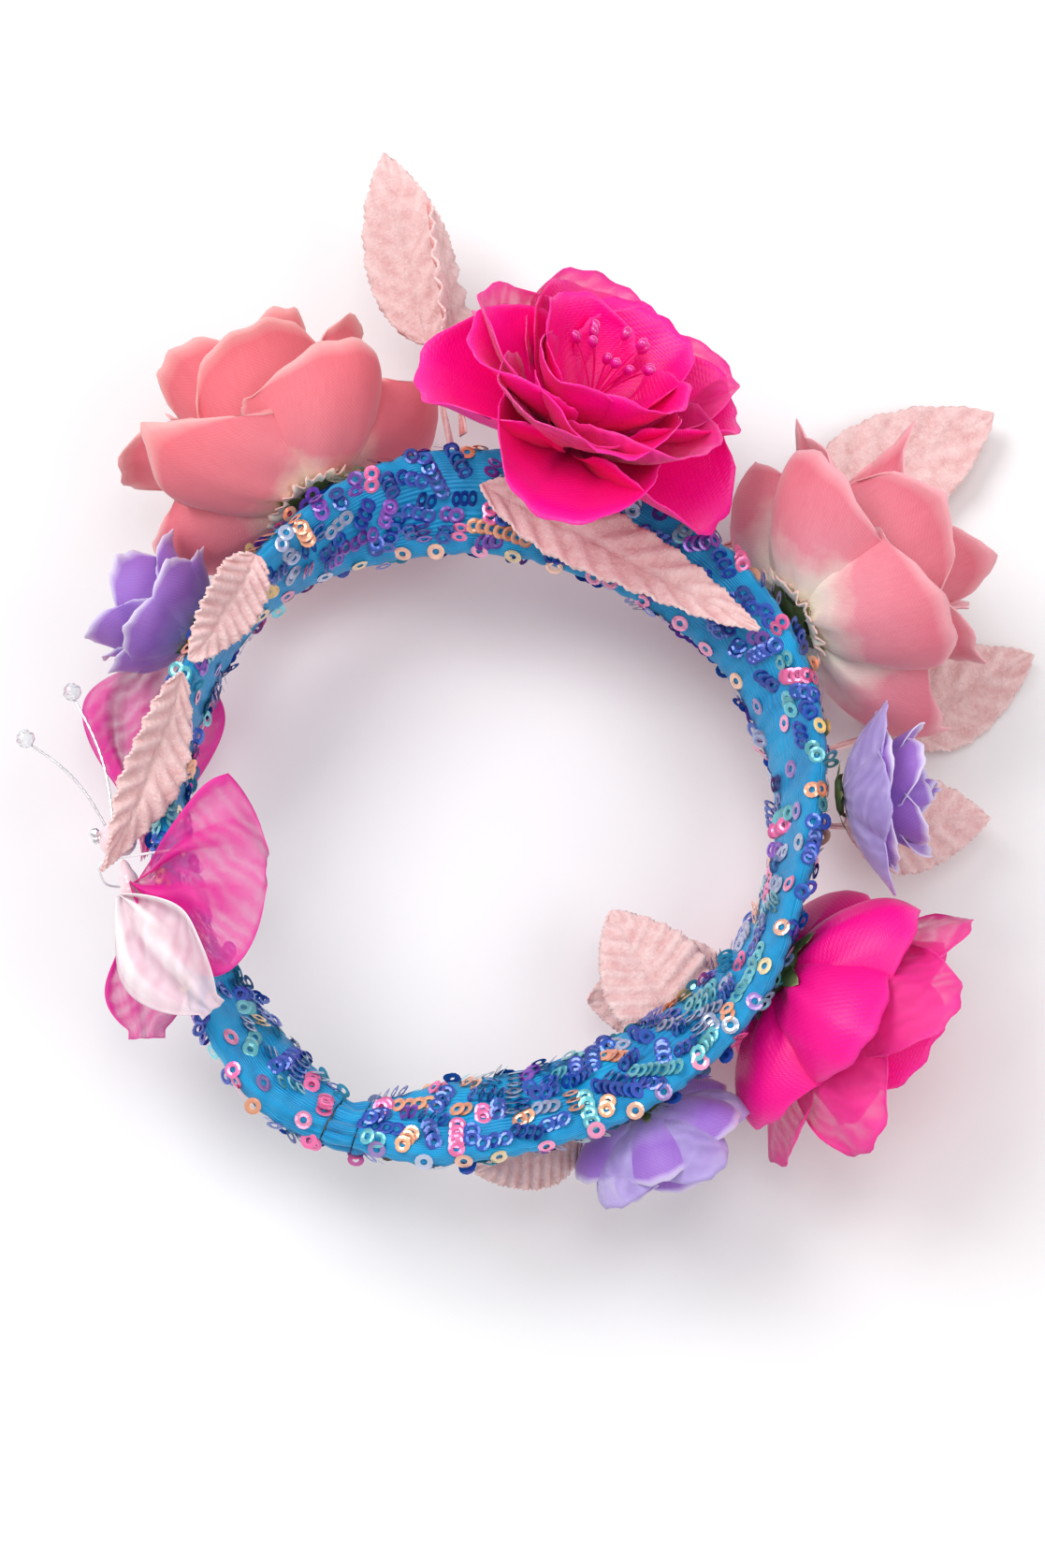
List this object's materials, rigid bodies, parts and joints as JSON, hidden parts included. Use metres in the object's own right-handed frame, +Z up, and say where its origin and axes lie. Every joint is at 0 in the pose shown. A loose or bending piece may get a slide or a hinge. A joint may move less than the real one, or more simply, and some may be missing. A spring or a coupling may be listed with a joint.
{
  "type": "flower crown",
  "caption": "Stretch headband in a sequinned knit sleeve, dressed with silk roses, velvet leaves and a sheer butterfly, worn round the head.",
  "frame": {"origin": "middle of the head opening, on the surface the crown lies on", "axes": "+Z up through the head opening, -Y the front of the crown, +Y its sewn joint at the back, +X the wearer's left"},
  "size_m": [0.2932, 0.294, 0.1226],
  "materials": {
    "sequin_knit": "ribbed stretch knit, satin",
    "sequins": "pearlescent ring sequins",
    "elastic": "woven elastic, matt",
    "coral_silk": "pressed silk, matt, cream at the base",
    "dusty_silk": "pressed silk, matt, cream at the base",
    "fuchsia_satin": "satin",
    "fuchsia_organza": "sheer organza",
    "lavender_silk": "pressed silk, satin, paler edges",
    "calyx_green": "moulded, matt",
    "velvet_leaf": "glittered velvet",
    "stamen": "dipped thread with pearl tips",
    "pearl_pink": "pearl",
    "rhinestone": "faceted, foil backed",
    "sheer_magenta": "sheer organza",
    "sheer_white": "sheer organza",
    "silver_wire": "bright wire",
    "clear_bead": "faceted, clear",
    "clear_thread": "clear nylon"
  },
  "bodies": {
    "crown": {"back_leaf": "velvet_leaf", "butterfly_body": "pearl_pink", "butterfly_head": "pearl_pink", "coral_rose_bud": "coral_silk", "coral_rose_calyx": "calyx_green", "coral_rose_inner_petals": "coral_silk", "coral_rose_middle_petals": "coral_silk", "coral_rose_outer_petals": "coral_silk", "dusty_rose_bud": "dusty_silk", "dusty_rose_calyx": "calyx_green", "dusty_rose_inner_petals": "dusty_silk", "dusty_rose_middle_petals": "dusty_silk", "dusty_rose_outer_petals": "dusty_silk", "elastic_core": "elastic", "front_cover_leaf": "velvet_leaf", "front_leaf_long": "velvet_leaf", "front_leaf_short": "velvet_leaf", "fuchsia_rose_calyx": "calyx_green", "fuchsia_rose_inner_petals": "fuchsia_satin", "fuchsia_rose_middle_petals": "fuchsia_satin", "fuchsia_rose_organza_petals": "fuchsia_organza", "fuchsia_rose_outer_petals": "fuchsia_satin", "fuchsia_rose_stamens": "stamen", "inner_leaf_left": "velvet_leaf", "inner_leaf_right": "velvet_leaf", "joint_binding": "sequin_knit", "lavender_rose_bud": "lavender_silk", "lavender_rose_calyx": "calyx_green", "lavender_rose_inner_petals": "lavender_silk", "lavender_rose_outer_petals": "lavender_silk", "left_leaf_lower": "velvet_leaf", "left_leaf_upper": "velvet_leaf", "lilac_rose_bud": "lavender_silk", "lilac_rose_calyx": "calyx_green", "lilac_rose_inner_petals": "lavender_silk", "lilac_rose_outer_petals": "lavender_silk", "rhinestone_eye_lower": "rhinestone", "rhinestone_eye_upper": "rhinestone", "right_leaf_large": "velvet_leaf", "right_leaf_low": "velvet_leaf", "right_leaf_small": "velvet_leaf", "satin_flower_bud": "fuchsia_satin", "satin_flower_calyx": "calyx_green", "satin_flower_inner_petals": "fuchsia_satin", "satin_flower_organza_petals": "fuchsia_organza", "satin_flower_outer_petals": "fuchsia_satin", "sequin_sleeve": "sequin_knit", "tie_thread": "clear_thread", "violet_rose_bud": "lavender_silk", "violet_rose_calyx": "calyx_green", "violet_rose_inner_petals": "lavender_silk", "violet_rose_outer_petals": "lavender_silk"},
    "near_wings": {"wing_upper_near": "sheer_magenta", "wing_lower_near": "sheer_white"},
    "far_wings": {"wing_upper_far": "sheer_magenta", "wing_lower_far": "sheer_magenta"},
    "antenna_upper": {"antenna_wire_upper": "silver_wire", "antenna_bead_upper": "clear_bead"},
    "antenna_lower": {"antenna_wire_lower": "silver_wire", "antenna_bead_lower": "clear_bead"}
  },
  "joints": [
    {"name": "near_wings_fold", "type": "hinge", "parent": "crown", "child": "near_wings", "pos_m": [0.08527, 0.06084, 0.057], "axis": [-0.6148, 0.7887, 0], "range_deg": [0, 30]},
    {"name": "far_wings_fold", "type": "hinge", "parent": "crown", "child": "far_wings", "pos_m": [0.08527, 0.06084, 0.057], "axis": [-0.6148, 0.7887, 0], "range_deg": [-35, 0]},
    {"name": "antenna_upper_sway", "type": "hinge", "parent": "crown", "child": "antenna_upper", "pos_m": [0.09633, 0.04665, 0.057], "axis": [0, 0, 1], "range_deg": [-12, 12], "stiffness_Nm_per_rad": 0.002},
    {"name": "antenna_lower_sway", "type": "hinge", "parent": "crown", "child": "antenna_lower", "pos_m": [0.09633, 0.04665, 0.057], "axis": [0, 0, 1], "range_deg": [-12, 12], "stiffness_Nm_per_rad": 0.002}
  ]
}
